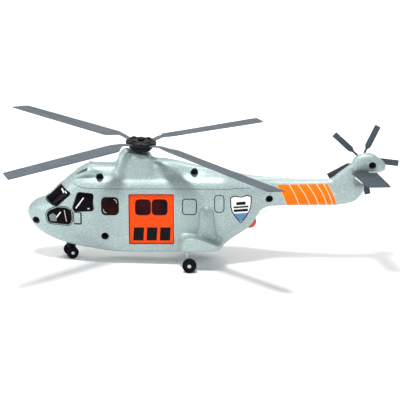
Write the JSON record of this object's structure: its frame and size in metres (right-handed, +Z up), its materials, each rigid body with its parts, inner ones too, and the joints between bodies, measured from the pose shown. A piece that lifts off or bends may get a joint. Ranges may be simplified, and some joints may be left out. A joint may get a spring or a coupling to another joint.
{
  "type": "helicopter scale model",
  "caption": "Wheeled transport helicopter scale model with a boxy cast cabin, raised engine deck, sliding side doors, folding-style main rotor, open tail rotor and side stabiliser.",
  "frame": {"origin": "centre of the base of the bounding box, at the ground under the wheels", "axes": "+X aft along the fuselage, +Y to starboard, +Z up; the fuselage datum is pitched 1.6 degrees tail up about Y because the model stands on its wheels"},
  "size_m": [0.3644, 0.2564, 0.1314],
  "materials": {
    "silver_paint": "metallic silver, slightly green-blue, semi-gloss",
    "orange_plastic": "gloss orange",
    "dark_glazing": "near-black maroon tint, glossy",
    "grey_plastic": "satin dark grey",
    "rotor_plastic": "satin mid grey",
    "black_plastic": "satin black",
    "tyre": "matt black rubber",
    "pale_plastic": "satin pale grey",
    "steel": "plain steel",
    "brass": "plain turned metal, brass coloured",
    "interior_plastic": "satin dark orange brown",
    "red_plastic": "gloss red"
  },
  "bodies": {
    "airframe": {"cabin_bench": "interior_plastic", "cabin_floor": "interior_plastic", "cockpit_floor": "interior_plastic", "instrument_panel": "black_plastic", "left_cabin_window": "dark_glazing", "left_cockpit_glazing": "dark_glazing", "left_door_guide": "interior_plastic", "left_main_axle": "steel", "left_main_leg": "pale_plastic", "left_pilot_seat": "interior_plastic", "left_shell": "silver_paint", "mast_bush": "brass", "rear_bulkhead": "interior_plastic", "right_cabin_window": "dark_glazing", "right_cockpit_glazing": "dark_glazing", "right_door_guide": "interior_plastic", "right_main_axle": "steel", "right_main_leg": "pale_plastic", "right_pilot_seat": "interior_plastic", "right_shell": "silver_paint", "shell_screw_1": "steel", "shell_screw_2": "steel", "shell_screw_3": "steel", "shell_screw_4": "steel", "shell_screw_5": "steel", "shell_screw_6": "steel", "stabiliser": "grey_plastic", "winch_axle": "steel"},
    "main_rotor": {"mast": "steel", "mast_clip": "steel", "swash_ring": "black_plastic", "rotor_hub": "black_plastic", "hub_nut": "black_plastic", "blade_1": "rotor_plastic", "blade_2": "rotor_plastic", "blade_3": "rotor_plastic", "blade_4": "rotor_plastic", "blade_pin_1": "steel", "blade_pin_2": "steel", "blade_pin_3": "steel", "blade_pin_4": "steel"},
    "tail_rotor_body": {"tail_rotor": "grey_plastic", "tail_rotor_axle": "steel"},
    "left_door_body": {"left_door": "orange_plastic", "left_door_window_front": "dark_glazing", "left_door_window_rear": "dark_glazing"},
    "right_door_body": {"right_door": "orange_plastic", "right_door_window_front": "dark_glazing", "right_door_window_rear": "dark_glazing"},
    "nose_gear": {"nose_leg": "black_plastic"},
    "nose_wheels": {"nose_axle": "steel", "left_nose_wheel": "tyre", "right_nose_wheel": "tyre"},
    "left_main_wheel": {"left_main_tyre": "tyre", "left_main_rim": "pale_plastic"},
    "right_main_wheel": {"right_main_tyre": "tyre", "right_main_rim": "pale_plastic"},
    "winch": {"winch_wheel": "red_plastic"}
  },
  "joints": [
    {"name": "main_rotor_spin", "type": "hinge", "parent": "airframe", "child": "main_rotor", "pos_m": [-0.05454, 0, 0.09798], "axis": [0.0419, 0, 0.9991], "continuous": true},
    {"name": "tail_rotor_spin", "type": "hinge", "parent": "airframe", "child": "tail_rotor_body", "pos_m": [0.14762, 0, 0.09863], "axis": [0, 1, 0], "continuous": true},
    {"name": "left_door_slide", "type": "slide", "parent": "airframe", "child": "left_door_body", "axis": [0.9996, 0, 0.0279], "range_m": [0, 0.037]},
    {"name": "right_door_slide", "type": "slide", "parent": "airframe", "child": "right_door_body", "axis": [0.9996, 0, 0.0279], "range_m": [0, 0.037]},
    {"name": "nose_swivel", "type": "hinge", "parent": "airframe", "child": "nose_gear", "pos_m": [-0.11668, 0, -0.00179], "axis": [-0.0279, 0, 0.9996], "range_deg": [-63, 27]},
    {"name": "nose_wheels_spin", "type": "hinge", "parent": "nose_gear", "child": "nose_wheels", "pos_m": [-0.11689, 0, 0.0056], "axis": [-0.3089, 0.9511, -0.0086], "continuous": true},
    {"name": "left_wheel_spin", "type": "hinge", "parent": "airframe", "child": "left_main_wheel", "pos_m": [-0.00707, -0.0361, 0.00645], "axis": [0, 1, 0], "continuous": true},
    {"name": "right_wheel_spin", "type": "hinge", "parent": "airframe", "child": "right_main_wheel", "pos_m": [-0.00707, 0.0361, 0.00645], "axis": [0, 1, 0], "continuous": true},
    {"name": "winch_turn", "type": "hinge", "parent": "airframe", "child": "winch", "pos_m": [0.04725, 0, 0.0388], "axis": [0, 1, 0], "continuous": true}
  ]
}
